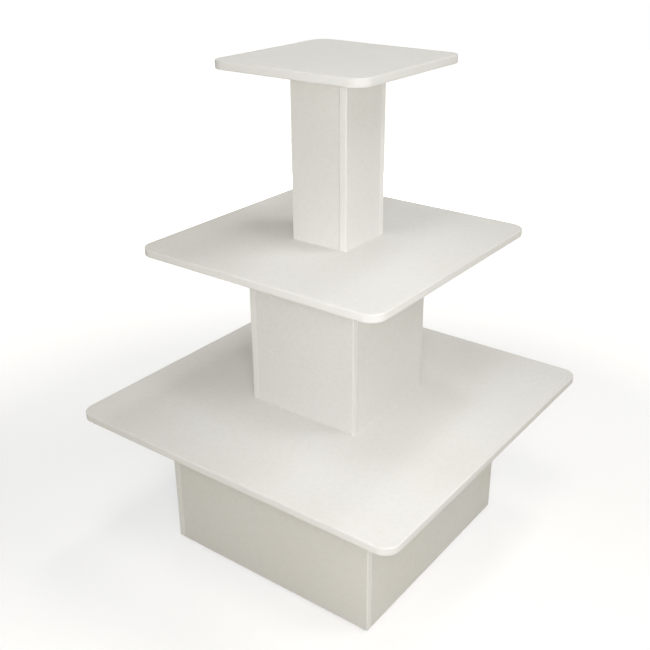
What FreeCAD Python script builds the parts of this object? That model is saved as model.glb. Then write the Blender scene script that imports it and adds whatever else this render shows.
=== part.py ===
import FreeCAD, Part
import os
import Sketcher
from FreeCAD import Rotation, Vector

# Tiered display table for a shop: three square tabletops, one above another, each carried by a
# square box pedestal of four butt-jointed boards. All boards are melamine-faced, 19 mm thick.
# Screws, nails and their holes are eight-sided, and a diameter of theirs is across the flats.
# Millimetres. +Z is up and the front faces -Y. The origin is on the floor, under the middle.

SIZES = [
    # Boards
    ("boardThickness", 19.0, "every tabletop and pedestal panel"),
    # Tabletops, measured over their edge mouldings
    ("lowerSide", 914.0, "side of the lower tabletop"),
    ("middleSide", 660.0, "side of the middle tabletop"),
    ("upperSide", 400.0, "side of the upper tabletop"),
    ("cornerRadius", 38.0, "rounded corners of each tabletop"),
    # Edge moulding: a flat cap with a barbed spine that is driven into a slot in the board's edge
    ("capThickness", 3.0, "cap that covers the board's edge"),
    ("capRound", 2.4, "rounded long edges of the cap"),
    ("slotThickness", 2.4, "slot cut round the board's edge"),
    ("slotDepth", 10.0, "slot cut round the board's edge"),
    ("spineThickness", 1.6, "spine between its barbs"),
    ("spineLength", 9.0, "spine, from the back of the cap"),
    ("barbLength", 2.5, "tapered length of a barb"),
    ("buttGap", 0.4, "where the moulding's two ends meet, at the back"),
    # Pedestals, measured over their panels
    ("baseWidth", 607.0, "side of the base"),
    ("baseHeight", 384.0, "panels of the base"),
    ("pedestalWidth", 305.0, "side of the middle pedestal"),
    ("pedestalHeight", 400.0, "panels of the middle pedestal"),
    ("columnWidth", 152.0, "side of the column"),
    ("columnHeight", 394.0, "panels of the column"),
    # Edge band on each panel end that shows
    ("bandThickness", 3.0, "edge band"),
    ("bandRound", 2.0, "rounded long edges of the band"),
    # Tongues: loose plywood strips glued in grooves along the corners of each box
    ("tongueThickness", 4.0, "tongue"),
    ("tongueWidth", 23.0, "tongue, half of it in each panel"),
    ("groovePlay", 0.2, "how much thicker the groove is"),
    ("grooveDepth", 12.0, "groove in each panel"),
    ("grooveInset", 25.0, "groove's end from the end of the joint, so that it doesn't show"),
    ("tongueSlack", 1.0, "tongue's end from the end of its groove"),
    # Corner blocks glued into the boxes
    ("blockThickness", 25.0, "corner block"),
    ("blockTip", 12.0, "blunt tips of a corner block"),
    ("blockClip", 6.0, "corner cut away to clear the glue line"),
    ("baseBlockLeg", 90.0, "reach of a corner block along each panel"),
    ("pedestalBlockLeg", 70.0, "reach of a corner block along each panel"),
    ("columnBlockLeg", 42.0, "reach of a corner block along each panel"),
    ("baseScrewInset", 28.0, "screw's axis from each panel's inner face"),
    ("pedestalScrewInset", 24.0, "screw's axis from each panel's inner face"),
    ("columnScrewInset", 14.0, "screw's axis from each panel's inner face"),
    # Countersunk wood screws
    ("screwDiameter", 4.5, "shank"),
    ("screwLength", 38.0, "overall"),
    ("screwHead", 9.0, "head's diameter, with its underside at 45 degrees"),
    ("screwRim", 0.3, "upright rim of the head"),
    ("screwPoint", 1.5, "bevelled point"),
    ("screwPlay", 0.4, "clearance hole over shank"),
    ("pilotSlack", 1.0, "pilot hole beyond the point"),
    # Glides tacked under the base
    ("glideHeight", 3.0, "the base stands this far off the floor"),
    ("glideDiameter", 16.0, "glide"),
    ("glideInset", 40.0, "glide's middle from the corner of the base"),
    ("nailDiameter", 2.2, "glide's nail"),
    ("nailLength", 12.0, "glide's nail, in the panel"),
]

doc = FreeCAD.newDocument("TieredDisplayTable")
sheet = doc.addObject("Spreadsheet::Sheet", "Sizes")
for row, (alias, value, meaning) in enumerate(SIZES, start=1):
    sheet.set(f"A{row}", meaning)
    sheet.set(f"B{row}", str(value))
    sheet.setAlias(f"B{row}", alias)
doc.recompute()

BOARD = "Sizes.boardThickness"
CAP_FACETS = 3  # straight facets that make up each rounded edge of an edge moulding

# Each box: its sizes, the level of its foot, how many corner blocks it has at foot and head, and
# its hand. With hand 1 the panel ends show at the left of each face, and with -1 at the right.
BOXES = {
    "base": {
        "width": "Sizes.baseWidth",
        "height": "Sizes.baseHeight",
        "foot": "Sizes.glideHeight",
        "leg": "Sizes.baseBlockLeg",
        "inset": "Sizes.baseScrewInset",
        "blocks": {"head": 4},
        "hand": 1,
    },
    "pedestal": {
        "width": "Sizes.pedestalWidth",
        "height": "Sizes.pedestalHeight",
        "leg": "Sizes.pedestalBlockLeg",
        "inset": "Sizes.pedestalScrewInset",
        "blocks": {"foot": 4, "head": 4},
        "hand": 1,
    },
    "column": {
        "width": "Sizes.columnWidth",
        "height": "Sizes.columnHeight",
        "leg": "Sizes.columnBlockLeg",
        "inset": "Sizes.columnScrewInset",
        "blocks": {"foot": 2, "head": 2},
        "hand": -1,
    },
}
for box in BOXES.values():
    box["half"] = f"({box['width']} / 2)"
    box["inner"] = f"({box['half']} - {BOARD})"
    box["screw"] = f"({box['inner']} - {box['inset']})"

# Each tabletop lies on the box below it, and the next box stands on the tabletop.
TABLETOPS = {
    "lower": {"side": "Sizes.lowerSide", "below": "base", "above": "pedestal"},
    "middle": {"side": "Sizes.middleSide", "below": "pedestal", "above": "column"},
    "upper": {"side": "Sizes.upperSide", "below": "column", "above": None},
}
for top in TABLETOPS.values():
    below = BOXES[top["below"]]
    top["level"] = f"({below['foot']} + {below['height']})"
    if top["above"]:
        BOXES[top["above"]]["foot"] = f"({top['level']} + {BOARD})"

OCTAGON = [(1, -1), (1, 1), (-1, 1), (-1, -1)]  # its corners' quarters, anticlockwise

SIDES = ("front", "right", "back", "left")
CORNERS = ("front_right", "back_right", "back_left", "front_left")

parts = []


def measure(expression):
    """The present value of an expression over the sheet."""
    return float(sheet.evalExpression(expression))


def new_body(label):
    body = doc.addObject("PartDesign::Body", label)
    body.Label = label
    parts.append(body)
    return body


def origin(body, role):
    """One of the body's own origin planes or axes."""
    return next(item for item in body.Origin.OriginFeatures if item.Role == role)


def new_sketch(body, role, offset="0"):
    """A sketch on an origin plane, moved along the plane's normal."""
    sketch = body.newObject("Sketcher::SketchObject", f"{body.Name}_sketch")
    sketch.AttachmentSupport = [(origin(body, role), "")]
    sketch.MapMode = "FlatFace"
    sketch.setExpression("AttachmentOffset.Base.z", offset)
    return sketch


def bind(sketch, expression, kind, *references):
    """Adds a dimension that follows the sheet."""
    index = sketch.addConstraint(Sketcher.Constraint(kind, *references, measure(expression)))
    name = f"{kind}{index}"
    sketch.renameConstraint(index, name)
    sketch.setExpression(f"Constraints.{name}", expression)


def place(sketch, axis, geometry, point, expression):
    """Holds a point at a signed distance from the sketch's origin along X or Y."""
    value = measure(expression)
    if value > 0:
        bind(sketch, expression, f"Distance{axis}", -1, 1, geometry, point)
    elif value < 0:
        bind(sketch, f"-({expression})", f"Distance{axis}", geometry, point, -1, 1)
    else:
        axis_line = {"X": -2, "Y": -1}[axis]
        sketch.addConstraint(Sketcher.Constraint("PointOnObject", geometry, point, axis_line))


def arc_at(corner, before, after, radius):
    """A quarter-circle in a square corner, with the points where it leaves the two lines."""
    arrive = (corner - before).normalize()
    leave = (after - corner).normalize()
    start = corner - arrive * radius
    end = corner + leave * radius
    centre = start + leave * radius
    middle = centre + (corner - centre).normalize() * radius
    return start, end, Part.Arc(start, middle, end)


def outline(sketch, corners, closed=True):
    """Straight lines through the corners, with a tangent arc wherever a corner has a radius.

    A corner is (x, y) or (x, y, radius), each an expression over the sheet. A rounded corner
    joins one level line and one upright line.
    """
    count = len(corners)
    points = [Vector(measure(corner[0]), measure(corner[1])) for corner in corners]
    starts = list(points)
    ends = list(points)
    arcs = {}
    for k, corner in enumerate(corners):
        if len(corner) == 3:
            ends[k], starts[k], arcs[k] = arc_at(
                points[k], points[k - 1], points[(k + 1) % count], measure(corner[2])
            )
    spans = count if closed else count - 1
    lines = []
    for k in range(spans):
        lines.append(sketch.addGeometry(Part.LineSegment(starts[k], ends[(k + 1) % count])))
    level = []
    upright = []
    for k, line in enumerate(lines):
        after = (k + 1) % count
        level.append(abs(points[k].y - points[after].y) < 1e-6)
        upright.append(abs(points[k].x - points[after].x) < 1e-6)
        if level[k]:
            sketch.addConstraint(Sketcher.Constraint("Horizontal", line))
            place(sketch, "Y", line, 1, corners[k][1])
        elif upright[k]:
            sketch.addConstraint(Sketcher.Constraint("Vertical", line))
            place(sketch, "X", line, 1, corners[k][0])
    for k, corner in enumerate(corners):
        touching = [j for j in (k - 1, k) if closed or 0 <= j < spans]
        incoming = lines[k - 1]
        if len(corner) == 3:
            arc = sketch.addGeometry(arcs[k])
            ends_at = 1 if arcs[k].toShape().Curve.Axis.z > 0 else 2
            sketch.addConstraint(Sketcher.Constraint("Tangent", incoming, 2, arc, ends_at))
            sketch.addConstraint(Sketcher.Constraint("Tangent", arc, 3 - ends_at, lines[k], 1))
            bind(sketch, corner[2], "Radius", arc)
            continue
        if len(touching) == 2:
            sketch.addConstraint(Sketcher.Constraint("Coincident", incoming, 2, lines[k], 1))
        line, point = (lines[k], 1) if k in touching else (lines[k - 1], 2)
        if not any(upright[j] for j in touching):
            place(sketch, "X", line, point, corner[0])
        if not any(level[j] for j in touching):
            place(sketch, "Y", line, point, corner[1])


def square(half, radius):
    """The four corners of a rounded square about the middle, clockwise from the back right."""
    return [
        (half, half, radius),
        (half, f"-{half}", radius),
        (f"-{half}", f"-{half}", radius),
        (f"-{half}", half, radius),
    ]


def rectangle(sketch, x, y):
    """A rectangle from the lower to the higher of two values along each axis."""
    outline(sketch, [(x[0], y[0]), (x[1], y[0]), (x[1], y[1]), (x[0], y[1])])


def octagon(sketch, x, y, across):
    """An upright eight-sided outline, measured across its flats."""
    flat = f"({across}) / 2"
    corner = f"{flat} * tan(22.5)"
    corners = []
    for quarter, (right, up) in enumerate(OCTAGON):
        upright_first = [(flat, corner), (corner, flat)]
        for along, aside in upright_first if quarter % 2 else reversed(upright_first):
            corners.append((f"({x} + {right} * {along})", f"({y} + {up} * {aside})"))
    outline(sketch, corners)


def circle(sketch, x, y, radius):
    centre = Vector(measure(x), measure(y))
    index = sketch.addGeometry(Part.Circle(centre, Vector(0, 0, 1), measure(radius)))
    bind(sketch, radius, "Radius", index)
    place(sketch, "X", index, 3, x)
    place(sketch, "Y", index, 3, y)


def pad(body, sketch, length, midplane=False):
    feature = body.newObject("PartDesign::Pad", f"{body.Name}_pad")
    feature.Profile = sketch
    feature.Midplane = midplane
    feature.setExpression("Length", length)
    doc.recompute()
    return feature


def volume_of(body):
    doc.recompute()
    return body.Shape.Volume


def check_cut(body, before, feature):
    """A cut that points away from the board removes nothing and reports no error."""
    if not volume_of(body) < before - 1:
        raise RuntimeError(f"{feature.Name} cuts nothing from {body.Label}")


def pocket(body, sketch, length, midplane=False, upward=False):
    before = volume_of(body)
    feature = body.newObject("PartDesign::Pocket", f"{body.Name}_pocket")
    feature.Profile = sketch
    feature.Midplane = midplane
    feature.Reversed = upward
    feature.setExpression("Length", length)
    check_cut(body, before, feature)
    return feature


def bevel(body, level, size):
    """A 45 degree bevel on the short edges at a level: those of eight-sided holes and shanks."""
    before = volume_of(body)
    base = body.Tip
    short = measure("Sizes.screwHead / 2")
    names = []
    for number, edge in enumerate(base.Shape.Edges, start=1):
        box = edge.BoundBox
        if box.ZLength < 1e-6 and abs(box.ZMin - measure(level)) < 1e-6 and edge.Length < short:
            names.append(f"Edge{number}")
    feature = body.newObject("PartDesign::Chamfer", f"{body.Name}_bevel")
    feature.Base = (base, names)
    feature.setExpression("Size", size)
    check_cut(body, before, feature)


def countersunk(body, axis, thickness, count):
    """Clearance holes for screws from below, countersunk so that each head lies flush."""
    clear = "(Sizes.screwDiameter + Sizes.screwPlay)"
    sketch = new_sketch(body, "XY_Plane")
    octagon(sketch, axis, f"-{axis}", clear)
    hole = pocket(body, sketch, thickness, upward=True)
    if count > 1:
        polar(body, count, [hole])
    bevel(body, "0", f"(Sizes.screwHead - {clear}) / 2 + Sizes.screwRim")


def pilot(body, x, y, across, depth):
    """A blind hole from below that a screw or nail holds in."""
    sketch = new_sketch(body, "XY_Plane")
    octagon(sketch, x, y, across)
    return pocket(body, sketch, depth, upward=True)


def polar(body, count, features=()):
    """Repeats features, or the whole body so far, round the upright middle of the table."""
    pattern = body.newObject("PartDesign::PolarPattern", f"{body.Name}_polar")
    if features:
        pattern.Originals = features
    else:
        pattern.TransformMode = "Whole shape"
    pattern.Axis = (origin(body, "Z_Axis"), [""])
    pattern.Angle = 360
    pattern.Occurrences = count
    body.Tip = pattern
    doc.recompute()


def seat(body, level, quarter=0):
    """Stands a body at its level, turned by quarter turns about the table's middle."""
    body.Placement.Rotation = Rotation(Vector(0, 0, 1), 90 * quarter)
    body.setExpression("Placement.Base.z", level)


def make_tabletop(name, top):
    """A board with rounded corners, slotted all round for its moulding, and drilled from below."""
    body = new_body(f"{name}_tabletop")
    half = f"({top['side']} / 2 - Sizes.capThickness)"
    radius = "(Sizes.cornerRadius - Sizes.capThickness)"
    sketch = new_sketch(body, "XY_Plane")
    outline(sketch, square(half, radius))
    pad(body, sketch, BOARD)

    slot = new_sketch(body, "XY_Plane", f"{BOARD} / 2")
    outline(slot, square(f"({top['side']} / 2)", "Sizes.cornerRadius"))
    outline(slot, square(f"({half} - Sizes.slotDepth)", f"({radius} - Sizes.slotDepth)"))
    pocket(body, slot, "Sizes.slotThickness", midplane=True)

    if top["above"]:
        above = BOXES[top["above"]]
        countersunk(body, above["screw"], BOARD, above["blocks"]["foot"])
    below = BOXES[top["below"]]
    depth = "Sizes.screwLength - Sizes.blockThickness + Sizes.pilotSlack"
    hole = pilot(body, below["screw"], f"-{below['screw']}", "Sizes.screwDiameter", depth)
    polar(body, below["blocks"]["head"], [hole])
    seat(body, top["level"])


def eased_edge(outer, level, way):
    """Facets round a long edge of the cap, from its flat at the level to its face."""
    points = []
    for step in range(CAP_FACETS + 1):
        turn = 90 * step / CAP_FACETS
        back = f"Sizes.capRound * (1 - sin({turn}))"
        rise = f"Sizes.capRound * (1 - cos({turn}))"
        points.append((f"({outer} - {back})", f"({level} + {way} * {rise})"))
    return points


def make_moulding(name, top):
    """The T-shaped edge moulding, swept round the tabletop from a butt joint at the back."""
    body = new_body(f"{name}_edge_moulding")
    run = f"({top['side']} / 2 - Sizes.capThickness)"
    radius = "(Sizes.cornerRadius - Sizes.capThickness)"
    path = new_sketch(body, "XY_Plane", f"{BOARD} / 2")
    joint = "Sizes.buttGap / 2"
    outline(path, [(joint, run)] + square(run, radius) + [(f"-{joint}", run)], closed=False)

    outer = f"({top['side']} / 2)"
    middle = f"{BOARD} / 2"
    core = "Sizes.spineThickness / 2"
    barb = "Sizes.slotThickness / 2"
    end = f"({run} - Sizes.spineLength)"
    step = f"({end} + Sizes.barbLength)"
    profile = new_sketch(body, "YZ_Plane", joint)
    outline(profile, [
        (run, "0"),
        *eased_edge(outer, "0", 1),
        *reversed(eased_edge(outer, BOARD, -1)),
        (run, BOARD),
        (run, f"({middle} + {core})"),
        (step, f"({middle} + {core})"),
        (step, f"({middle} + {barb})"),
        (end, f"({middle} + {core} / 2)"),
        (end, f"({middle} - {core} / 2)"),
        (step, f"({middle} - {barb})"),
        (step, f"({middle} - {core})"),
        (run, f"({middle} - {core})"),
    ])
    doc.recompute()
    pipe = body.newObject("PartDesign::AdditivePipe", f"{body.Name}_pipe")
    pipe.Profile = profile
    pipe.Spine = path
    doc.recompute()
    seat(body, top["level"])


def glide_axis(box):
    return f"({box['half']} - Sizes.glideInset)"


def make_panel(name, box, side, quarter):
    """A panel that butts on the inner face of one neighbour and covers the end of the other."""
    body = new_body(f"{name}_{side}_panel")
    hand = box["hand"]
    butt_end = f"({-hand} * {box['inner']})"
    banded_end = f"({hand} * ({box['half']} - Sizes.bandThickness))"
    sketch = new_sketch(body, "XY_Plane")
    outline(sketch, [
        (butt_end, f"-{box['half']}"),
        (banded_end, f"-{box['half']}"),
        (banded_end, f"-{box['inner']}"),
        (butt_end, f"-{box['inner']}"),
    ])
    pad(body, sketch, box["height"])

    # Stopped grooves for the tongues, in the end that butts and in the inner face that is butted on.
    mid_board = f"({box['half']} - {BOARD} / 2)"
    groove = "Sizes.tongueThickness + Sizes.groovePlay"
    stops = ("Sizes.grooveInset", f"({box['height']} - Sizes.grooveInset)")
    end_groove = new_sketch(body, "XZ_Plane", mid_board)
    rectangle(end_groove, (butt_end, f"({-hand} * ({box['inner']} - Sizes.grooveDepth))"), stops)
    pocket(body, end_groove, groove, midplane=True)
    face_groove = new_sketch(body, "YZ_Plane", f"{hand} * {mid_board}")
    rectangle(face_groove, (f"-({box['inner']} + Sizes.grooveDepth)", f"-{box['inner']}"), stops)
    pocket(body, face_groove, groove, midplane=True)

    if name == "base":
        depth = "Sizes.nailLength + Sizes.pilotSlack"
        pilot(body, glide_axis(box), f"-{mid_board}", "Sizes.nailDiameter", depth)
    seat(body, box["foot"], quarter)


def make_edge_band(name, box, side, quarter):
    """The strip glued on the end of a panel that shows, with both long edges rounded."""
    body = new_body(f"{name}_{side}_edge_band")
    hand = box["hand"]
    glued = f"({hand} * ({box['half']} - Sizes.bandThickness))"
    face = f"({hand} * {box['half']})"
    sketch = new_sketch(body, "XY_Plane")
    outline(sketch, [
        (glued, f"-{box['half']}"),
        (face, f"-{box['half']}", "Sizes.bandRound"),
        (face, f"-{box['inner']}", "Sizes.bandRound"),
        (glued, f"-{box['inner']}"),
    ])
    pad(body, sketch, box["height"])
    seat(body, box["foot"], quarter)


def make_tongues(name, box):
    """A tongue in each corner of a box, half in one panel and half in the other."""
    body = new_body(f"{name}_tongues")
    joint = f"{-box['hand']} * {box['inner']}"
    half = "Sizes.tongueWidth / 2"
    end = "(Sizes.grooveInset + Sizes.tongueSlack)"
    sketch = new_sketch(body, "XZ_Plane", f"({box['half']} - {BOARD} / 2)")
    rectangle(
        sketch, (f"({joint} - {half})", f"({joint} + {half})"), (end, f"({box['height']} - {end})")
    )
    pad(body, sketch, "Sizes.tongueThickness", midplane=True)
    polar(body, 4)
    seat(body, box["foot"])


def make_corner_block(name, box, end, quarter):
    """A corner block, glued flush with the head or the foot of its box."""
    body = new_body(f"{name}_{end}_block_{CORNERS[quarter]}")
    inner = box["inner"]
    tip = f"({inner} - {box['leg']})"
    blunt = f"({inner} - Sizes.blockTip)"
    clip = f"({inner} - Sizes.blockClip)"
    sketch = new_sketch(body, "XY_Plane")
    outline(sketch, [
        (tip, f"-{inner}"),
        (clip, f"-{inner}"),
        (inner, f"-{clip}"),
        (inner, f"-{tip}"),
        (blunt, f"-{tip}"),
        (tip, f"-{blunt}"),
    ])
    pad(body, sketch, "Sizes.blockThickness")
    if end == "head":
        countersunk(body, box["screw"], "Sizes.blockThickness", 1)
        seat(body, f"{box['foot']} + {box['height']} - Sizes.blockThickness", quarter)
    else:
        depth = f"Sizes.screwLength - {BOARD} + Sizes.pilotSlack"
        pilot(body, box["screw"], f"-{box['screw']}", "Sizes.screwDiameter", depth)
        seat(body, box["foot"], quarter)


def make_screws(name, box, end, count):
    """The screws of one end of a box, driven upwards: through its blocks, or up into them."""
    body = new_body(f"{name}_{end}_screws")
    axis = box["screw"]
    cone = "((Sizes.screwHead - Sizes.screwDiameter) / 2)"
    neck = f"(Sizes.screwRim + {cone})"
    head = new_sketch(body, "XY_Plane")
    octagon(head, axis, f"-{axis}", "Sizes.screwHead")
    pad(body, head, neck)
    bevel(body, neck, cone)
    shank = new_sketch(body, "XY_Plane", neck)
    octagon(shank, axis, f"-{axis}", "Sizes.screwDiameter")
    pad(body, shank, f"Sizes.screwLength - {neck}")
    bevel(body, "Sizes.screwLength", "Sizes.screwPoint")
    polar(body, count)
    if end == "head":
        seat(body, f"{box['foot']} + {box['height']} - Sizes.blockThickness")
    else:
        seat(body, f"{box['foot']} - {BOARD}")


def make_glides(box):
    """Round glides, each with a nail up into the bottom edge of a base panel."""
    body = new_body("base_glides")
    across = f"-({box['half']} - {BOARD} / 2)"
    foot = new_sketch(body, "XY_Plane")
    circle(foot, glide_axis(box), across, "Sizes.glideDiameter / 2")
    pad(body, foot, "Sizes.glideHeight")
    shank = new_sketch(body, "XY_Plane", "Sizes.glideHeight")
    octagon(shank, glide_axis(box), across, "Sizes.nailDiameter")
    pad(body, shank, "Sizes.nailLength")
    polar(body, 4)


for name, box in BOXES.items():
    for quarter, side in enumerate(SIDES):
        make_panel(name, box, side, quarter)
        make_edge_band(name, box, side, quarter)
    make_tongues(name, box)
    for end, count in box["blocks"].items():
        for quarter in range(0, 4, 4 // count):
            make_corner_block(name, box, end, quarter)
        make_screws(name, box, end, count)
make_glides(BOXES["base"])
for name, top in TABLETOPS.items():
    make_tabletop(name, top)
    make_moulding(name, top)

doc.recompute()
faults = [item.Name for item in doc.Objects if {"Invalid", "Error"} & set(item.State)]
faults += [body.Label for body in parts if body.Shape.isNull() or not body.Shape.isValid()]
if faults:
    raise RuntimeError("not built: " + ", ".join(faults))

os.makedirs("parts", exist_ok=True)
for body in parts:
    body.Shape.exportStep(f"parts/{body.Label}.step")
    print(f"{body.Label:36s} {len(body.Shape.Solids):2d} solids {body.Shape.Volume / 1000:10.2f} cm3")
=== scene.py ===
import math

import bmesh
import bpy
from mathutils import Matrix, Vector


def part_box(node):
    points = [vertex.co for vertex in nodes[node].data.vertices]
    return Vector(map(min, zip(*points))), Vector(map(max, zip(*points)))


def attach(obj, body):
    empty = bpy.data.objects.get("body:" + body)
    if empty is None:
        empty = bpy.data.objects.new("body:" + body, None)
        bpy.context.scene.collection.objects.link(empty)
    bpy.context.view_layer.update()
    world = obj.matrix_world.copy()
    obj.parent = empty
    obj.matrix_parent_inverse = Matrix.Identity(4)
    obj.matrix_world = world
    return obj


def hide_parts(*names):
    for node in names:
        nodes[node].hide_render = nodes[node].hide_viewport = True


# A tiered display table: three square tabletops with T-shaped edge mouldings, on three square
# boxes of melamine-faced board. Metres, +Z up, the front faces -Y, origin on the floor.

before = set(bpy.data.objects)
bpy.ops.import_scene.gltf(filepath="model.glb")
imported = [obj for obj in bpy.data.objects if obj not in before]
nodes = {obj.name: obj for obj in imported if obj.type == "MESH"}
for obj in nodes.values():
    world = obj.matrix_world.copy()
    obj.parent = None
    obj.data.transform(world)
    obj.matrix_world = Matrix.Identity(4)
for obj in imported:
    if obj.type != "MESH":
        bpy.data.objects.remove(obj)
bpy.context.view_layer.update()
scene = bpy.context.scene
body = "root"
levels = ("lower", "middle", "upper")
sides = ("front", "right", "back", "left")
boxes = {"base": 1, "pedestal": 1, "column": -1}      # 1: panel ends show at the left of a face
print("frame loaded:", len(nodes), "nodes")


# Small helpers for node trees

def addNode(tree, kind, inputs=None, **settings):
    # inputs: socket name or number to a value, or to another node's output that feeds it
    node = tree.nodes.new(kind)
    for name, value in settings.items():
        setattr(node, name, value)
    for socket, value in (inputs or {}).items():
        if isinstance(value, bpy.types.NodeSocket):
            tree.links.new(value, node.inputs[socket])
        else:
            node.inputs[socket].default_value = value
    return node


def maths(tree, operation, *values):
    node = addNode(tree, "ShaderNodeMath", dict(enumerate(values)), operation=operation)
    return node.outputs[0]


def minus(tree, value):
    return maths(tree, "MULTIPLY", value, -1.0)


def half(tree, value):
    return maths(tree, "MULTIPLY", value, 0.5)


def farther(tree, split):
    # how far a place is from the middle along X or along Y, whichever is more
    return maths(tree, "MAXIMUM", *[maths(tree, "ABSOLUTE", split.outputs[k]) for k in (0, 1)])


def blendColour(tree, factor, first, second):
    # first and second are colours (r, g, b) or sockets
    node = addNode(tree, "ShaderNodeMix", {0: factor}, data_type="RGBA")
    for number, colour in ((6, first), (7, second)):
        if isinstance(colour, bpy.types.NodeSocket):
            tree.links.new(colour, node.inputs[number])
        else:
            node.inputs[number].default_value = (*colour, 1)
    return node.outputs[2]


def spread(tree, value, low, high, start=0.0, full=1.0):
    # goes from low to high as the value goes from start to full, and is held there
    inputs = {0: value, 1: start, 2: full, 3: low, 4: high}
    return addNode(tree, "ShaderNodeMapRange", inputs).outputs[0]


def noise(tree, vector, scale, detail=3.0, roughness=0.5):
    inputs = {"Vector": vector, "Scale": scale, "Detail": detail, "Roughness": roughness}
    return addNode(tree, "ShaderNodeTexNoise", inputs).outputs["Fac"]


def stretch(tree, vector, scale, turn=0):
    # turn is about Z, in degrees
    inputs = {"Vector": vector, "Scale": scale, "Rotation": (0, 0, math.radians(turn))}
    return addNode(tree, "ShaderNodeMapping", inputs).outputs[0]


def newMaterial(name):
    material = bpy.data.materials.new(name)
    material.use_nodes = True
    tree = material.node_tree
    tree.nodes.clear()
    coords = addNode(tree, "ShaderNodeTexCoord")
    shader = addNode(tree, "ShaderNodeBsdfPrincipled")
    addNode(tree, "ShaderNodeOutputMaterial", {"Surface": shader.outputs[0]})
    return material, tree, shader, coords.outputs["Object"]


def bump(tree, shader, height, distance, under=None):
    # distance is the height of the relief in metres
    inputs = {"Height": height, "Distance": distance}
    if under:
        inputs["Normal"] = under
    node = addNode(tree, "ShaderNodeBump", inputs)
    tree.links.new(node.outputs[0], shader.inputs["Normal"])
    return node.outputs[0]


# Materials
# Patterns are counted to the metre. A range holds what spread takes: low and high, and often start
# and full. The high of a range for a colour is how much of that colour shows at most.

melamine = {
    "colour": (0.800, 0.796, 0.777),
    "shade": (0.772, 0.764, 0.732),     # where the tone drifts darker
    "drift": 2.2,                       # clouds of tone
    "driftRange": (0, 1, 0.35, 0.65),
    "grain": (0.680, 0.665, 0.620),
    "flecks": 110,                      # mottle of the printed paper
    "fleckRange": (0, 0.32, 0.45, 0.75),
    "pearl": 420,                       # orange-peel of the press plate
    "pearlDepth": 0.00012,
    "thickness": 0.00025,
    # dark glue line along taped seams, which is also painted shade where the seam's shadow falls
    "seamGlueAndShade": (0.750, 0.740, 0.710),
    "lineWidth": 0.0006,
    "rub": 14,                          # patches rubbed smoother by goods
    "roughness": (0.56, 0.66, 0.35, 0.65),
    "specular": 0.2,
}

chipboard = {
    "chips": (0.560, 0.400, 0.240),
    "pale": (0.740, 0.590, 0.390),
    "dark": (0.330, 0.215, 0.120),
    "chipCount": 330,
    "flatness": 2.8,                    # how thin the chips lie across the board
    "darkRange": (0, 0.7, 0.75, 1.0),
    "gapRange": (0, 0.35, 0.45, 0.8),
    "fines": 1500,
    "finesRange": (0, 0.25, 0.5, 0.75),
    "roughness": 0.85,
    "depth": 0.0003,
}


def melamineLook(tree, coords):
    cloud = noise(tree, coords, melamine["drift"], detail=2)
    flecks = noise(tree, coords, melamine["flecks"], detail=5, roughness=0.6)
    drift = spread(tree, cloud, *melamine["driftRange"])
    colour = blendColour(tree, drift, melamine["colour"], melamine["shade"])
    grain = spread(tree, flecks, *melamine["fleckRange"])
    colour = blendColour(tree, grain, colour, melamine["grain"])
    rubbed = noise(tree, coords, melamine["rub"], detail=4, roughness=0.6)
    roughness = spread(tree, rubbed, *melamine["roughness"])
    relief = noise(tree, coords, melamine["pearl"], detail=2)
    return colour, roughness, relief


def chipboardLook(tree, coords, axis):
    # chips that lie flat in the board, each with its own tone, and dark fines between them
    squeeze = [1, 1, 1]
    squeeze[axis] = chipboard["flatness"]
    cells = addNode(tree, "ShaderNodeTexVoronoi", {
        "Vector": stretch(tree, coords, squeeze),
        "Scale": chipboard["chipCount"],
    })
    fines = noise(tree, coords, chipboard["fines"], detail=2)
    tones = addNode(tree, "ShaderNodeSeparateColor", {0: cells.outputs["Color"]})
    colour = blendColour(tree, tones.outputs[0], chipboard["chips"], chipboard["pale"])
    darker = spread(tree, tones.outputs[1], *chipboard["darkRange"])
    colour = blendColour(tree, darker, colour, chipboard["dark"])
    gaps = spread(tree, cells.outputs["Distance"], *chipboard["gapRange"])
    colour = blendColour(tree, gaps, colour, chipboard["dark"])
    dust = spread(tree, fines, *chipboard["finesRange"])
    colour = blendColour(tree, dust, colour, chipboard["dark"])
    relief = maths(tree, "SUBTRACT", fines, gaps)
    return colour, relief


def farFrom(tree, value, places):
    # how far the value is from the nearest of the places, and a metre at most
    nearest = 1.0
    for place in places:
        off = maths(tree, "ABSOLUTE", maths(tree, "SUBTRACT", value, place))
        nearest = maths(tree, "MINIMUM", nearest, off)
    return nearest


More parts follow.
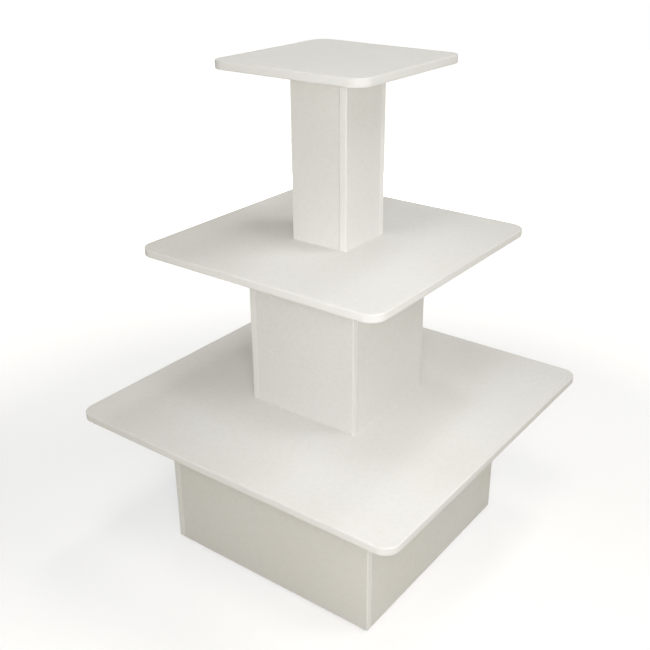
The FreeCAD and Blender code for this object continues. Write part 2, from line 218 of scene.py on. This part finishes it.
def boardMaterial(name, axis, faces, edge):
    # melamine on the two faces, at these distances along an axis, and raw chipboard where it is cut
    # edge gives how far a place is from a glued edge of the board, and whether that edge is taped
    material, tree, shader, coords = newMaterial(name)
    split = addNode(tree, "ShaderNodeSeparateXYZ", {0: coords})
    toEdge, taped = edge(tree, split)
    nearest = farFrom(tree, maths(tree, "ABSOLUTE", split.outputs[axis]), faces)
    if taped:
        nearest = maths(tree, "MINIMUM", nearest, toEdge)
    faced = maths(tree, "LESS_THAN", nearest, melamine["thickness"])
    decor, smooth, pearl = melamineLook(tree, coords)
    # darker within the line's width of a taped edge: the glue line, and painted shade in the seam
    line = spread(tree, toEdge, 1, 0, melamine["lineWidth"] / 2, melamine["lineWidth"])
    decor = blendColour(tree, line, decor, melamine["seamGlueAndShade"])
    raw, chips = chipboardLook(tree, coords, axis)
    tree.links.new(blendColour(tree, faced, raw, decor), shader.inputs["Base Color"])
    roughness = addNode(tree, "ShaderNodeMix", {0: faced, 2: chipboard["roughness"], 3: smooth})
    tree.links.new(roughness.outputs[0], shader.inputs["Roughness"])
    shader.inputs["Specular IOR Level"].default_value = melamine["specular"]
    bare = maths(tree, "SUBTRACT", 1.0, faced)
    under = bump(tree, shader, maths(tree, "MULTIPLY", chips, bare), chipboard["depth"])
    bump(tree, shader, maths(tree, "MULTIPLY", pearl, faced), melamine["pearlDepth"], under=under)
    return material


def panelEdge(axis, ends):
    # taped ends at these places along the front panel, and the same on the others as the box turns
    def edge(tree, split):
        side = maths(tree, "SIGN", split.outputs[axis])
        along = maths(tree, "MULTIPLY", side, split.outputs[1 - axis])
        if axis == 1:
            along = minus(tree, along)
        return farFrom(tree, along, ends), True
    return edge


def tabletopEdge(reach, radius):
    # the rounded square's rim, bare where the moulding's slot is milled
    def edge(tree, split):
        beyond = []
        for number in (0, 1):
            off = maths(tree, "ABSOLUTE", split.outputs[number])
            past = maths(tree, "MAXIMUM", maths(tree, "SUBTRACT", off, reach - radius), 0.0)
            beyond.append(maths(tree, "POWER", past, 2.0))
        away = maths(tree, "SQRT", maths(tree, "ADD", *beyond))
        return maths(tree, "SUBTRACT", radius, away), False
    return edge


plastic = {
    "shade": 0.93,                      # how dark the streaks and clouds go
    "streaks": 900,                     # extrusion lines along its length
    "streakRange": (0, 0.5, 0.4, 0.7),
    "clouds": 5,
    "cloudRange": (0, 0.5, 0.35, 0.65),
    "depth": 0.00001,
}

mouldingPlastic = {
    "colour": (0.805, 0.800, 0.782),
    "roughness": (0.54, 0.64),
    "specular": 0.08,
    "squeeze": (0.012, 0.012, 1),       # draws the streaks out along X and Y
}

bandPlastic = {
    "colour": (0.850, 0.845, 0.820),
    "roughness": (0.24, 0.32),
    "specular": 0.6,
    "squeeze": (1, 1, 0.012),           # draws the streaks out along Z
}


def plasticMaterial(name, finish):
    material, tree, shader, coords = newMaterial(name)
    colour = finish["colour"]
    shade = [part * plastic["shade"] for part in colour]
    streaks = noise(tree, stretch(tree, coords, finish["squeeze"]), plastic["streaks"], detail=2)
    cloud = noise(tree, coords, plastic["clouds"], detail=2)
    tone = blendColour(tree, spread(tree, cloud, *plastic["cloudRange"]), colour, shade)
    tone = blendColour(tree, spread(tree, streaks, *plastic["streakRange"]), tone, shade)
    tree.links.new(tone, shader.inputs["Base Color"])
    tree.links.new(spread(tree, streaks, *finish["roughness"]), shader.inputs["Roughness"])
    shader.inputs["Specular IOR Level"].default_value = finish["specular"]
    bump(tree, shader, streaks, plastic["depth"])
    return material


softwood = {
    "pale": (0.760, 0.600, 0.390),
    "ring": (0.560, 0.370, 0.190),
    "sap": (0.850, 0.720, 0.500),
    "rings": 19,                        # scale of the wave
    "ringSqueeze": (0.06, 1, 0.45),
    "ringWobble": 5.0,
    "wobbleScale": 1.4,
    "ringRange": (0, 0.85, 0.35, 1.0),
    "fibre": 1400,
    "fibreSqueeze": (0.03, 1, 1),
    "fibreRange": (0, 0.35, 0.35, 0.75),
    "drift": 6,                         # patches of sapwood
    "driftSqueeze": (1.5, 12, 12),
    "sapRange": (0, 0.3, 0.4, 0.7),
    "roughness": (0.55, 0.75),
    "depth": 0.00012,
}


def softwoodMaterial(name, turn):
    # growth rings and fibres that run level, turned about Z to follow the block's long side
    material, tree, shader, coords = newMaterial(name)
    grain = stretch(tree, coords, (1, 1, 1), turn)
    drift = noise(tree, stretch(tree, grain, softwood["driftSqueeze"]), softwood["drift"])
    wave = addNode(tree, "ShaderNodeTexWave", {
        "Vector": stretch(tree, grain, softwood["ringSqueeze"]),
        "Scale": softwood["rings"],
        "Distortion": softwood["ringWobble"],
        "Detail Scale": softwood["wobbleScale"],
    }, bands_direction="Y", wave_profile="SAW")
    fibre = noise(tree, stretch(tree, grain, softwood["fibreSqueeze"]), softwood["fibre"])
    ring = spread(tree, wave.outputs["Fac"], *softwood["ringRange"])
    colour = blendColour(tree, ring, softwood["pale"], softwood["ring"])
    colour = blendColour(tree, spread(tree, fibre, *softwood["fibreRange"]), colour, softwood["ring"])
    colour = blendColour(tree, spread(tree, drift, *softwood["sapRange"]), colour, softwood["sap"])
    tree.links.new(colour, shader.inputs["Base Color"])
    tree.links.new(spread(tree, fibre, *softwood["roughness"]), shader.inputs["Roughness"])
    bump(tree, shader, maths(tree, "SUBTRACT", fibre, ring), softwood["depth"])
    return material


plywood = {
    "face": (0.720, 0.560, 0.380),
    "core": (0.480, 0.340, 0.210),
    "thickness": 0.004,
    "plies": 3,
    "fibre": 1100,
    "fibreSqueeze": (1, 1, 0.03),
    "fibreRange": (0, 0.4, 0.35, 0.75),
    "roughness": (0.6, 0.8),
    "depth": 0.0001,
}


def plywoodMaterial(name, middle):
    # plies across the thickness, whose middle lies at this distance out from the table's own
    material, tree, shader, coords = newMaterial(name)
    split = addNode(tree, "ShaderNodeSeparateXYZ", {0: coords})
    off = maths(tree, "ABSOLUTE", maths(tree, "SUBTRACT", farther(tree, split), middle))
    core = maths(tree, "LESS_THAN", off, plywood["thickness"] / plywood["plies"] / 2)
    fibre = noise(tree, stretch(tree, coords, plywood["fibreSqueeze"]), plywood["fibre"])
    colour = blendColour(tree, core, plywood["face"], plywood["core"])
    colour = blendColour(tree, spread(tree, fibre, *plywood["fibreRange"]), colour, plywood["core"])
    tree.links.new(colour, shader.inputs["Base Color"])
    tree.links.new(spread(tree, fibre, *plywood["roughness"]), shader.inputs["Roughness"])
    bump(tree, shader, fibre, plywood["depth"])
    return material


metal = {
    "patches": 260,
    "patchRange": (0, 0.8, 0.4, 0.7),
    "scratches": 700,
    "squeeze": (1, 0.05, 1),            # draws the scratches out along Y
    "turn": 37,                         # and turns them, in degrees
    "depth": 0.000015,
}

zincPlate = {
    "bright": (0.640, 0.630, 0.600),
    "dull": (0.420, 0.410, 0.380),
    "roughness": (0.22, 0.42),
}

nickelPlate = {
    "bright": (0.720, 0.690, 0.630),
    "dull": (0.500, 0.470, 0.430),
    "roughness": (0.16, 0.38),
}


def metalMaterial(name, plate):
    material, tree, shader, coords = newMaterial(name)
    patches = noise(tree, coords, metal["patches"])
    drawn = stretch(tree, coords, metal["squeeze"], metal["turn"])
    marks = noise(tree, drawn, metal["scratches"], detail=2)
    shade = spread(tree, patches, *metal["patchRange"])
    colour = blendColour(tree, shade, plate["bright"], plate["dull"])
    tree.links.new(colour, shader.inputs["Base Color"])
    tree.links.new(spread(tree, marks, *plate["roughness"]), shader.inputs["Roughness"])
    shader.inputs["Metallic"].default_value = 1.0
    bump(tree, shader, marks, metal["depth"])
    return material


levelPlastic = plasticMaterial("edge_moulding_plastic", mouldingPlastic)
uprightPlastic = plasticMaterial("edge_band_plastic", bandPlastic)
zincSteel = metalMaterial("zinc_plated_steel", zincPlate)
nickelSteel = metalMaterial("nickel_plated_steel", nickelPlate)


# Geometry node helpers

sharpAngle = 32             # edges that turn by more degrees stay crisp

lathing = {
    "axle": 0.00001,        # radius of the circle that a half-section is swept along
    "weld": 0.00005,        # closes the poles
}


def newTree(name, sizes):
    # a geometry tree with one named input for each size; returns the tree and its input sockets
    tree = bpy.data.node_groups.new(name, "GeometryNodeTree")
    add = tree.interface.new_socket
    add(name="Geometry", in_out="INPUT", socket_type="NodeSocketGeometry")
    for size in sizes:
        kind = "NodeSocketInt" if isinstance(sizes[size], int) else "NodeSocketFloat"
        add(name=size, in_out="INPUT", socket_type=kind)
    add(name="material", in_out="INPUT", socket_type="NodeSocketMaterial")
    add(name="Geometry", in_out="OUTPUT", socket_type="NodeSocketGeometry")
    return tree, addNode(tree, "NodeGroupInput").outputs


def endTree(tree, geometry, material):
    smooth = addNode(tree, "GeometryNodeSetShadeSmooth", {"Geometry": geometry, "Shade Smooth": True})
    real = addNode(tree, "GeometryNodeRealizeInstances", {0: smooth.outputs[0]})
    done = addNode(tree, "GeometryNodeSetMaterial", {"Geometry": real.outputs[0], "Material": material})
    addNode(tree, "NodeGroupOutput", {0: done.outputs[0]})


def growPiece(name, tree, sizes, material, points):
    # runs the tree on a few points and keeps what it makes as a plain mesh
    seed = bpy.data.meshes.new(name + "_seed")
    seed.from_pydata(points, [], [])
    carrier = bpy.data.objects.new(name + "_carrier", seed)
    scene.collection.objects.link(carrier)
    modifier = carrier.modifiers.new("grow", "NODES")
    modifier.node_group = tree
    for item in tree.interface.items_tree:
        if item.in_out == "INPUT" and item.name in sizes:
            modifier[item.identifier] = sizes[item.name]
        elif item.in_out == "INPUT" and item.name == "material":
            modifier[item.identifier] = material
    ready = carrier.evaluated_get(bpy.context.evaluated_depsgraph_get())
    mesh = bpy.data.meshes.new_from_object(ready)
    bpy.data.objects.remove(carrier)
    mesh.set_sharp_from_angle(angle=math.radians(sharpAngle))
    mesh.name = name
    piece = bpy.data.objects.new(name, mesh)
    scene.collection.objects.link(piece)
    return piece


def chain(tree, corners, closed):
    # a curve of straight runs through corners whose (x, y) are numbers or sockets
    line = addNode(tree, "GeometryNodeMeshLine", {"Count": len(corners)})
    curve = addNode(tree, "GeometryNodeMeshToCurve", {"Mesh": line.outputs[0]})
    pick = addNode(tree, "GeometryNodeIndexSwitch", data_type="VECTOR")
    while len(pick.index_switch_items) < len(corners):
        pick.index_switch_items.new()
    tree.links.new(addNode(tree, "GeometryNodeInputIndex").outputs[0], pick.inputs["Index"])
    for number, (x, y) in enumerate(corners):
        corner = addNode(tree, "ShaderNodeCombineXYZ", {"X": x, "Y": y})
        tree.links.new(corner.outputs[0], pick.inputs[number + 1])
    moved = addNode(tree, "GeometryNodeSetPosition", {
        "Geometry": curve.outputs[0],
        "Position": pick.outputs[0],
    })
    inputs = {"Geometry": moved.outputs[0], "Cyclic": closed}
    return addNode(tree, "GeometryNodeSetSplineCyclic", inputs).outputs[0]


def roundCorners(tree, curve, radius, count, only=None):
    # fillets every corner, or only those whose numbers are given
    if only:
        index = addNode(tree, "GeometryNodeInputIndex").outputs[0]
        hits = [maths(tree, "COMPARE", index, number, 0.5) for number in only]
        chosen = hits[0]
        for hit in hits[1:]:
            chosen = maths(tree, "MAXIMUM", chosen, hit)
        radius = maths(tree, "MULTIPLY", radius, chosen)
    inputs = {"Curve": curve, "Radius": radius, "Count": count}
    return addNode(tree, "GeometryNodeFilletCurve", inputs, mode="POLY").outputs[0]


def sweep(tree, path, profile, caps):
    level = addNode(tree, "GeometryNodeSetCurveNormal", {"Curve": path}, mode="Z_UP")
    inputs = {"Curve": level.outputs[0], "Profile Curve": profile, "Fill Caps": caps}
    return addNode(tree, "GeometryNodeCurveToMesh", inputs).outputs[0]


def join(tree, *parts):
    node = tree.nodes.new("GeometryNodeJoinGeometry")
    for part in parts:
        tree.links.new(part, node.inputs[0])
    return node.outputs[0]


def merge(tree, geometry, distance):
    return addNode(tree, "GeometryNodeMergeByDistance", {0: geometry, "Distance": distance}).outputs[0]


def shift(tree, geometry, z):
    offset = addNode(tree, "ShaderNodeCombineXYZ", {"Z": z}).outputs[0]
    return addNode(tree, "GeometryNodeTransform", {0: geometry, "Translation": offset}).outputs[0]


def atPoints(tree, points, shape, angle=0.0):
    # a copy of the shape at each point, turned about Z
    euler = addNode(tree, "ShaderNodeCombineXYZ", {"Z": angle}).outputs[0]
    turn = addNode(tree, "FunctionNodeEulerToRotation", {0: euler}).outputs[0]
    inputs = {"Points": points, "Instance": shape, "Rotation": turn}
    return addNode(tree, "GeometryNodeInstanceOnPoints", inputs).outputs[0]


def lathe(tree, corners, steps):
    # a half-section of (distance from the axis, height), turned about Z
    section = chain(tree, [(x, minus(tree, y)) for x, y in corners], closed=False)
    inputs = {"Resolution": steps, "Radius": lathing["axle"]}
    axle = addNode(tree, "GeometryNodeCurvePrimitiveCircle", inputs).outputs[0]
    return merge(tree, sweep(tree, axle, section, caps=False), lathing["weld"])


# Edge mouldings: a cap with rounded long edges and a barbed spine, butted at the back

mouldingSizes = {
    "cap": 0.003,
    "capRound": 0.0024,
    "spine": 0.009,
    "spineThickness": 0.0016,
    "barb": 0.0024,
    "barbLength": 0.0025,
    "cornerRadius": 0.035,      # along the board's edge
    "buttGap": 0.0004,
    "roundSteps": 7,
    "cornerSteps": 20,
}


def mouldingTree():
    tree, size = newTree("edge_moulding_tree", {**mouldingSizes, "run": 0.0, "height": 0.0})
    gap = half(tree, size["buttGap"])
    run = size["run"]
    far = minus(tree, run)
    path = chain(tree, [
        (minus(tree, gap), run),
        (far, run),
        (far, far),
        (run, far),
        (run, run),
        (gap, run),
    ], closed=False)
    path = roundCorners(tree, path, size["cornerRadius"], size["cornerSteps"])

    # the section: x outwards from the board's edge, y downwards from the middle of its thickness
    bottom = half(tree, size["height"])
    top = minus(tree, bottom)
    core = half(tree, size["spineThickness"])
    coreTop = minus(tree, core)
    barb = half(tree, size["barb"])
    point = half(tree, core)
    end = minus(tree, size["spine"])
    step = maths(tree, "ADD", end, size["barbLength"])
    section = chain(tree, [
        (0.0, top),
        (size["cap"], top),
        (size["cap"], bottom),
        (0.0, bottom),
        (0.0, core),
        (step, core),
        (step, barb),
        (end, point),
        (end, minus(tree, point)),
        (step, minus(tree, barb)),
        (step, coreTop),
        (0.0, coreTop),
    ], closed=True)
    section = roundCorners(tree, section, size["capRound"], size["roundSteps"], only=(1, 2))
    strip = sweep(tree, path, section, caps=True)
    endTree(tree, atPoints(tree, size["Geometry"], strip), size["material"])
    return tree


def makeMouldings():
    tree = mouldingTree()
    for level in levels:
        low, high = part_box(level + "_tabletop")
        sizes = {**mouldingSizes, "run": high.x, "height": high.z - low.z}
        middle = (0, 0, (low.z + high.z) / 2)
        piece = growPiece(level + "_moulding_strip", tree, sizes, levelPlastic, [middle])
        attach(piece, body)
        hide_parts(level + "_edge_moulding")


makeMouldings()
print("edge mouldings grown")


# Edge bands: a strip on each panel end that shows, with both long edges rounded

bandSizes = {
    "round": 0.002,
    "roundSteps": 6,
    "weld": 0.00002,
}


def bandTree():
    inputs = dict.fromkeys(("thickness", "width", "height", "turn"), 0.0)
    tree, size = newTree("edge_band_tree", {**bandSizes, **inputs})
    front = half(tree, size["width"])
    back = minus(tree, front)
    corners = [(0.0, back), (size["thickness"], back), (size["thickness"], front), (0.0, front)]
    section = chain(tree, corners, closed=True)
    section = roundCorners(tree, section, size["round"], size["roundSteps"], only=(1, 2))
    foot = addNode(tree, "GeometryNodeFillCurve", {"Curve": section}, mode="NGONS").outputs[0]
    up = addNode(tree, "ShaderNodeCombineXYZ", {"Z": size["height"]}).outputs[0]
    raised = addNode(tree, "GeometryNodeExtrudeMesh", {"Mesh": foot, "Offset": up, "Individual": False})
    under = addNode(tree, "GeometryNodeFlipFaces", {0: foot}).outputs[0]
    whole = merge(tree, join(tree, raised.outputs[0], under), size["weld"])
    endTree(tree, atPoints(tree, size["Geometry"], whole, size["turn"]), size["material"])
    return tree


def makeBands():
    tree = bandTree()
    for box, hand in boxes.items():
        for quarter, side in enumerate(sides):
            node = f"{box}_{side}_edge_band"
            low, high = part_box(node)
            thickness, width = sorted((high - low).xy)
            turn = math.radians(90 * quarter + (0 if hand > 0 else 180))
            outward = Vector((math.cos(turn), math.sin(turn), 0))
            glued = (low + high) / 2 - outward * thickness / 2
            glued.z = low.z
            sizes = {
                **bandSizes,
                "thickness": thickness,
                "width": width,
                "height": high.z - low.z,
                "turn": turn,
            }
            piece = growPiece(f"{box}_{side}_band_strip", tree, sizes, uprightPlastic, [glued])
            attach(piece, body)
            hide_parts(node)


makeBands()
print("edge bands grown")


# Screws: countersunk, with a cross recess, a plain neck and a thread

screwSizes = {
    "length": 0.038,
    "headRadius": 0.0045,
    "rim": 0.0003,
    "shankRadius": 0.00225,
    "coreRadius": 0.0015,
    "neck": 0.012,              # from the head's face to the thread
    "point": 0.005,
    "recessWidth": 0.0027,      # half of it
    "recessDepth": 0.0028,
    "recessMouth": 1.42,        # its corners at the head's face, as a share of recessWidth
    "recessTip": 0.45,          # and at the bottom
    "recessProud": 0.0001,      # the cutter stands out of the head by this
    "pitch": 0.0022,
    "flank": 0.3,               # half of the thread's foot, as a share of the pitch
    "sunk": 0.0002,             # the thread's foot lies this deep in the core
    "fadeSize": 0.1,            # the thread's size at its ends, where it fades out
    "fadeIn": 0.06,             # share of the thread's length
    "fadeOut": 0.1,
    "turnSteps": 20,
    "steps": 28,
    "seed": 11,
}

bladeThickness = 0.27           # of one arm of the recess, as a share of its width
fourCorners = ((1, -1), (1, 1), (-1, 1), (-1, -1))


def recess(tree, size):
    # the cutter's two crossed blades: a cone with four sides, squeezed along X or along Y
    cone = addNode(tree, "GeometryNodeMeshCone", {
        "Vertices": 4,
        "Radius Top": maths(tree, "MULTIPLY", size["recessWidth"], size["recessTip"]),
        "Radius Bottom": maths(tree, "MULTIPLY", size["recessWidth"], size["recessMouth"]),
        "Depth": size["recessDepth"],
    }).outputs[0]
    inputs = {0: cone, "Rotation": (0, 0, math.radians(45))}
    square = addNode(tree, "GeometryNodeTransform", inputs).outputs[0]
    blade = shift(tree, square, minus(tree, size["recessProud"]))
    return [
        addNode(tree, "GeometryNodeTransform", {0: blade, "Scale": scale}).outputs[0]
        for scale in ((1, bladeThickness, 1), (bladeThickness, 1, 1))
    ]


def thread(tree, size, crest, reach):
    # a ridge along a helix that is as long as the reach, fading out at both ends
    helix = addNode(tree, "GeometryNodeCurveSpiral", {
        "Resolution": size["turnSteps"],
        "Rotations": maths(tree, "DIVIDE", reach, size["pitch"]),
        "Start Radius": size["coreRadius"],
        "End Radius": size["coreRadius"],
        "Height": reach,
        "Reverse": True,        # right-handed
    }).outputs[0]
    flank = maths(tree, "MULTIPLY", size["pitch"], size["flank"])
    foot = minus(tree, size["sunk"])
    ridge = chain(tree, [(foot, minus(tree, flank)), (crest, 0.0), (foot, flank)], closed=True)
    level = addNode(tree, "GeometryNodeSetCurveNormal", {"Curve": helix}, mode="Z_UP").outputs[0]
    along = addNode(tree, "GeometryNodeSplineParameter").outputs["Factor"]
    fadeStart = maths(tree, "SUBTRACT", 1.0, size["fadeOut"])
    rise = spread(tree, along, size["fadeSize"], 1, 0, size["fadeIn"])
    fall = spread(tree, along, 1, size["fadeSize"], fadeStart, 1)
    return addNode(tree, "GeometryNodeCurveToMesh", {
        "Curve": level,
        "Profile Curve": ridge,
        "Scale": maths(tree, "MULTIPLY", rise, fall),
        "Fill Caps": True,
    }).outputs[0]


def screwTree():
    tree, size = newTree("wood_screw_tree", screwSizes)
    head = size["headRadius"]
    shank = size["shankRadius"]
    core = size["coreRadius"]
    crest = maths(tree, "SUBTRACT", shank, core)
    under = maths(tree, "ADD", size["rim"], maths(tree, "SUBTRACT", head, shank))
    thin = maths(tree, "ADD", size["neck"], crest)
    taper = maths(tree, "SUBTRACT", size["length"], size["point"])
    turned = lathe(tree, [
        (0.0, 0.0),
        (head, 0.0),
        (head, size["rim"]),
        (shank, under),
        (shank, size["neck"]),
        (core, thin),
        (core, taper),
        (0.0, size["length"]),
    ], size["steps"])

    cut = tree.nodes.new("GeometryNodeMeshBoolean")
    cut.solver = "EXACT"
    tree.links.new(turned, cut.inputs["Mesh 1"])
    for blade in recess(tree, size):
        tree.links.new(blade, cut.inputs["Mesh 2"])

    spiral = thread(tree, size, crest, maths(tree, "SUBTRACT", taper, thin))
    whole = join(tree, cut.outputs[0], shift(tree, spiral, thin))
    chance = addNode(tree, "FunctionNodeRandomValue", {"Seed": size["seed"]}, data_type="FLOAT")
    angle = maths(tree, "MULTIPLY", chance.outputs["Value"], math.tau)
    endTree(tree, atPoints(tree, size["Geometry"], whole, angle), size["material"])
    return tree


def makeScrews():
    tree = screwTree()
    for node in sorted(nodes):
        if not node.endswith("_screws"):
            continue
        low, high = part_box(node)
        axis = high.x - screwSizes["headRadius"]
        corners = fourCorners[::2] if node.startswith("column") else fourCorners
        points = [(axis * x, axis * y, low.z) for x, y in corners]
        piece = growPiece(node.replace("_screws", "_wood_screws"), tree, screwSizes, zincSteel, points)
        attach(piece, body)
        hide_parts(node)


makeScrews()
print("screws driven")


# Glides: domed nail-on feet under the base

glideSizes = {
    "radius": 0.008,
    "height": 0.003,
    "sole": 0.0045,             # radius of the flat that stands on the floor
    "domed": 0.8,               # share of the height, up to the straight rim
    "nailRadius": 0.0011,
    "nailLength": 0.012,
    "nailPoint": 0.003,
    "steps": 40,
}

glideInset = 0.0385             # of a glide's middle along its panel, from the outer edge of them all


def glideTree():
    tree, size = newTree("nail_glide_tree", glideSizes)
    radius = size["radius"]
    height = size["height"]
    nail = size["nailRadius"]
    across = maths(tree, "SUBTRACT", radius, size["sole"])
    domed = maths(tree, "MULTIPLY", height, size["domed"])
    dome = []
    for degrees in range(15, 91, 15):     # a quarter-ellipse from the sole to the rim
        turn = math.radians(degrees)
        x = maths(tree, "MULTIPLY_ADD", across, math.sin(turn), size["sole"])
        z = maths(tree, "MULTIPLY", domed, 1 - math.cos(turn))
        dome.append((x, z))
    tip = maths(tree, "ADD", height, size["nailLength"])
    whole = lathe(tree, [
        (0.0, 0.0),
        (size["sole"], 0.0),
        *dome,
        (radius, height),
        (nail, height),
        (nail, maths(tree, "SUBTRACT", tip, size["nailPoint"])),
        (0.0, tip),
    ], size["steps"])
    endTree(tree, atPoints(tree, size["Geometry"], whole), size["material"])
    return tree


def makeGlides():
    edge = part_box("base_glides")[1].x
    out = edge - glideSizes["radius"]
    aside = edge - glideInset
    points = [(aside, -out, 0), (out, aside, 0), (-aside, out, 0), (-out, -aside, 0)]
    piece = growPiece("base_nail_glides", glideTree(), glideSizes, nickelSteel, points)
    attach(piece, body)
    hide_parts("base_glides")


makeGlides()
print("glides tacked on")


# CAD nodes that stay, with their finishes

def dress(name, material):
    mesh = nodes[name].data
    mesh.materials.clear()
    mesh.materials.append(material)


def dressTabletops():
    for level in levels:
        low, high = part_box(level + "_tabletop")
        rim = tabletopEdge(high.x, mouldingSizes["cornerRadius"])
        dress(level + "_tabletop", boardMaterial(level + "_tabletop_board", 2, (low.z, high.z), rim))


def dressPanels():
    for box in boxes:
        low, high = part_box(box + "_front_panel")
        faces = (-low.y, -high.y)
        ends = (low.x, high.x)
        across = boardMaterial(box + "_front_board", 1, faces, panelEdge(1, ends))
        along = boardMaterial(box + "_side_board", 0, faces, panelEdge(0, ends))
        for side in sides:
            dress(f"{box}_{side}_panel", across if side in ("front", "back") else along)


def dressInside():
    woods = {turn: softwoodMaterial(f"corner_block_wood_{turn}", -turn) for turn in (45, 135)}
    for name in nodes:
        if "_block_" in name:
            dress(name, woods[45 if name.endswith(("front_right", "back_left")) else 135])
    for box in boxes:
        low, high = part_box(box + "_front_panel")
        dress(box + "_tongues", plywoodMaterial(box + "_tongue_plywood", -(low.y + high.y) / 2))


dressTabletops()
dressPanels()
dressInside()
print("boards, blocks and tongues finished")


# Studio: pale floor, white surroundings, soft lamps

studio = {
    "floorColour": (0.62, 0.59, 0.52),
    "floorRoughness": 0.9,
    "floorRadius": 9.0,
    "floorSteps": 64,
    "floorGap": 0.0002,         # the glides' soles and the floor don't share a plane
    "floorLip": 0.008,          # how far the floor goes in under the base
    "floorGlow": (0.425, 0.45, 0.50),   # what the camera sees on top of the light, near the table
    "farGlow": (1, 1, 1),               # and far from it
    "glowRange": (0, 1, 1.2, 3.0),
    "surroundings": (1, 1, 1, 1),
    "ambient": (1.0, 0.93, 0.62, 1),
    "ambientStrength": 0.155,
    "lampColour": (1.0, 1.0, 1.03),
}

lamps = {
    # name: place, point it faces, width, power in watts, spread of the beam in degrees
    "camera_side": ((1.15, -1.57, 1.28), (0, 0, 0.6), 0.7, 18.2, 180),
    "right_of_camera": ((1.95, -1.15, 1.6), (0, 0, 0.6), 0.8, 4.6, 180),
    "left_wall": ((-0.85, -3.16, 2.89), (0, 0, 0.6), 2.5, 19.0, 180),
    "right_wall": ((3.29, 1.53, 2.29), (0, 0, 0.6), 2.0, 13.0, 180),
    "high_front": ((0.91, -1.25, 5.36), (0, 0, 0.6), 1.5, 35.0, 180),
    "high_right": ((2.78, 1.61, 4.43), (0, 0, 0.6), 1.8, 58.0, 180),
    "high_left": ((-2.78, -1.61, 4.43), (0, 0, 0.6), 1.8, 22.0, 180),
    "far_rear": ((0.5, 3.0, 8.2), (0, 0, 0.6), 1.2, 59.8, 180),
    "middle_tabletop_spot": ((0.8, -1.1, 2.4), (0.2, -0.25, 0.82), 0.5, 0.09, 30),
    "low_rear": ((-2.06, 2.83, 0.55), (0, 0, 0.55), 2.0, 40.0, 180),
    "under_base": ((0.1, 0.1, -1.2), (0, 0, 0.4), 0.6, 3.0, 180),
}


def seenBehind(tree):
    # 1 for the rays that show what lies behind the table, and 0 for those that light it
    rays = addNode(tree, "ShaderNodeLightPath").outputs
    seen = rays["Is Camera Ray"]
    for other in ("Is Glossy Ray", "Is Transmission Ray"):
        seen = maths(tree, "MAXIMUM", seen, rays[other])
    return seen


def makeFloor():
    mesh = bpy.data.meshes.new("floor")
    shape = bmesh.new()
    bmesh.ops.create_circle(
        shape,
        cap_ends=True,
        segments=studio["floorSteps"],
        radius=studio["floorRadius"],
    )
    shape.to_mesh(mesh)
    shape.free()
    mesh.transform(Matrix.Translation((0, 0, -studio["floorGap"])))
    floor = bpy.data.objects.new("floor", mesh)
    scene.collection.objects.link(floor)
    material, tree, shader, coords = newMaterial("floor_paper")
    shader.inputs["Base Color"].default_value = (*studio["floorColour"], 1)
    shader.inputs["Roughness"].default_value = studio["floorRoughness"]
    away = addNode(tree, "ShaderNodeVectorMath", {0: coords}, operation="LENGTH").outputs["Value"]
    far = spread(tree, away, *studio["glowRange"])
    glow = blendColour(tree, far, studio["floorGlow"], studio["farGlow"])
    tree.links.new(glow, shader.inputs["Emission Color"])
    tree.links.new(seenBehind(tree), shader.inputs["Emission Strength"])
    # clear from below and under the base, so that the underside and the inside can be looked at
    clear = addNode(tree, "ShaderNodeBsdfTransparent").outputs[0]
    below = addNode(tree, "ShaderNodeNewGeometry").outputs["Backfacing"]
    split = addNode(tree, "ShaderNodeSeparateXYZ", {0: coords})
    opening = -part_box("base_front_panel")[0].y - studio["floorLip"]
    inside = maths(tree, "LESS_THAN", farther(tree, split), opening)
    seeThrough = maths(tree, "MAXIMUM", below, inside)
    oneWay = addNode(tree, "ShaderNodeMixShader", {0: seeThrough, 1: shader.outputs[0], 2: clear})
    tree.links.new(oneWay.outputs[0], tree.nodes["Material Output"].inputs["Surface"])
    mesh.materials.append(material)


def makeWorld():
    world = bpy.data.worlds.new("surroundings")
    scene.world = world
    world.use_nodes = True
    tree = world.node_tree
    tree.nodes.clear()
    ambient = addNode(tree, "ShaderNodeBackground", {
        "Color": studio["ambient"],
        "Strength": studio["ambientStrength"],
    })
    white = addNode(tree, "ShaderNodeBackground", {"Color": studio["surroundings"]})
    mixed = addNode(tree, "ShaderNodeMixShader", {
        0: seenBehind(tree),
        1: ambient.outputs[0],
        2: white.outputs[0],
    })
    addNode(tree, "ShaderNodeOutputWorld", {"Surface": mixed.outputs[0]})


def makeLamps():
    for name, (place, target, width, power, beam) in lamps.items():
        light = bpy.data.lights.new(name, "AREA")
        light.shape = "SQUARE"
        light.size = width
        light.energy = power
        light.color = studio["lampColour"]
        light.spread = math.radians(beam)
        lamp = bpy.data.objects.new(name, light)
        scene.collection.objects.link(lamp)
        lamp.visible_camera = False
        lamp.location = place
        away = Vector(place) - Vector(target)
        lamp.rotation_euler = away.to_track_quat("Z", "Y").to_euler()


makeFloor()
makeWorld()
makeLamps()
print("studio set up")


# Camera

camera = {
    "place": (1.19667, -1.64619, 1.55378),
    "azimuth": 36.085,          # it looks along +Y at 0
    "elevation": 25.596,        # how far it looks down, in degrees
    "lens": 50.349,
    "sensorWidth": 36,
    "shiftX": -0.01896,
    "shiftY": 0.00794,
}


def makeCamera():
    lens = bpy.data.cameras.new("camera")
    lens.sensor_width = camera["sensorWidth"]
    lens.lens = camera["lens"]
    lens.shift_x = camera["shiftX"]
    lens.shift_y = camera["shiftY"]
    eye = bpy.data.objects.new("camera", lens)
    scene.collection.objects.link(eye)
    eye.location = camera["place"]
    eye.rotation_euler = [math.radians(a) for a in (90 - camera["elevation"], 0, camera["azimuth"])]
    scene.camera = eye


makeCamera()
scene.view_settings.view_transform = "Standard"
print("camera set")
